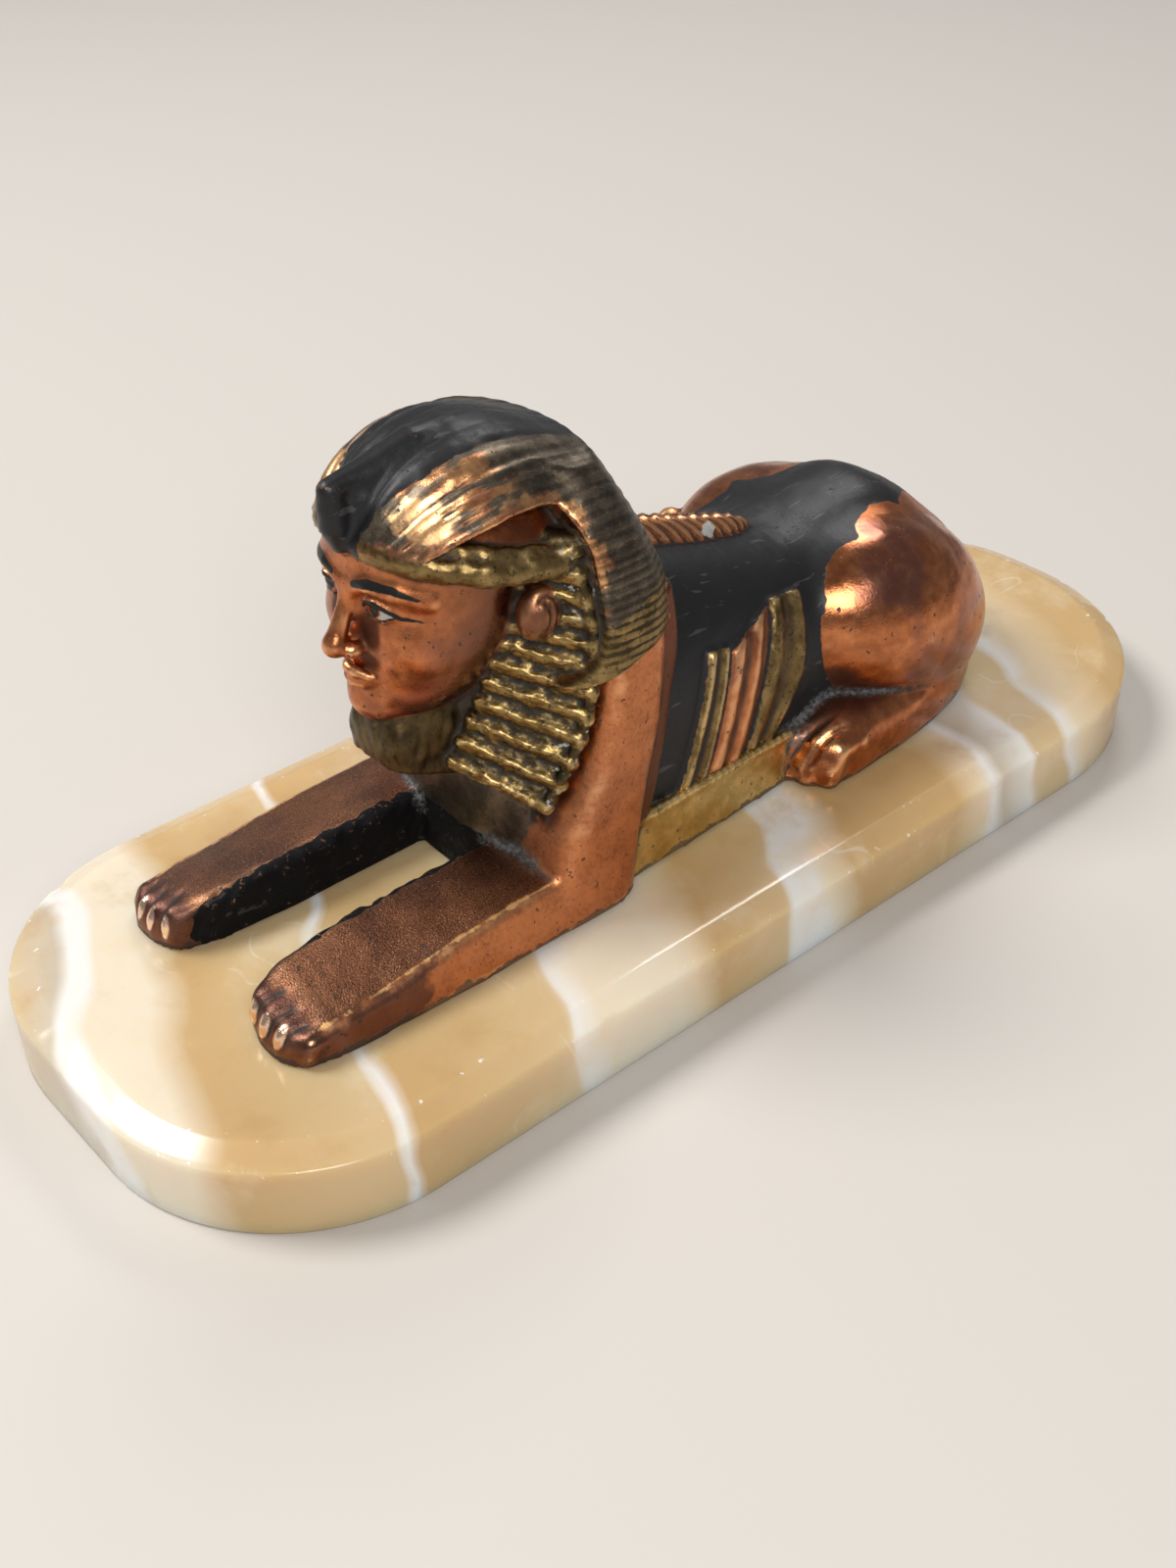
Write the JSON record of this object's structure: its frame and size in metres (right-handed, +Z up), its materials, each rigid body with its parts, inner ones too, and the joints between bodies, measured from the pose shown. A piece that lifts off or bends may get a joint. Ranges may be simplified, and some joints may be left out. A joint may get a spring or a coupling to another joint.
{
  "type": "sphinx statue",
  "caption": "Small couchant sphinx cast in plated metal, with a ribbed headcloth and folded wings, seated on a long stone slab with rounded ends.",
  "frame": {"origin": "on the slab's flat underside, under the middle of its length and width", "axes": "+Y along the slab from the paws to the tail, so the sphinx faces -Y; +X to the figure's left; +Z up"},
  "size_m": [0.059, 0.15, 0.0618],
  "materials": {
    "bronzed_copper": "cast metal plated in copper, with brass details, black painted fields and dark recesses, worn bright on the high places",
    "honey_onyx": "polished honey-coloured onyx with milky bands"
  },
  "bodies": {
    "root": {"sphinx_figure": "bronzed_copper", "onyx_base": "honey_onyx"}
  },
  "joints": []
}
